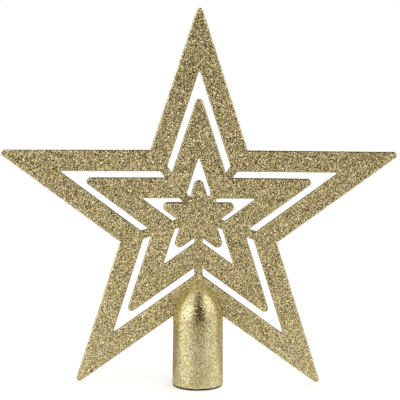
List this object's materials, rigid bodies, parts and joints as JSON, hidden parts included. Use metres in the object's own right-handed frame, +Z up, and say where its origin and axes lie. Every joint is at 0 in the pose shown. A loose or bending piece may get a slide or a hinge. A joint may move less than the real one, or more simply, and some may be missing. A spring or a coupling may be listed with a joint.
{
  "type": "tree topper star",
  "caption": "Flat glitter-coated star of nested star frames joined by short bridges, on a round bullet-topped socket that slips over the tip of a Christmas tree.",
  "frame": {"origin": "middle of the socket's open rim, on the surface that the star stands on", "axes": "+Z up along the socket, star in the XZ plane with its front towards -Y, +X along its width"},
  "size_m": [0.1898, 0.0246, 0.1821],
  "materials": {
    "star_glitter": "coarse gold glitter on moulded plastic",
    "bridge_glitter": "coarse gold glitter on moulded plastic",
    "socket_glitter": "fine gold glitter over gold lacquer on moulded plastic"
  },
  "bodies": {
    "root": {"outer_star_front": "star_glitter", "outer_star_back": "star_glitter", "middle_star_front": "star_glitter", "middle_star_back": "star_glitter", "inner_star_front": "star_glitter", "inner_star_back": "star_glitter", "bridge_frame": "bridge_glitter", "socket": "socket_glitter"}
  },
  "joints": []
}
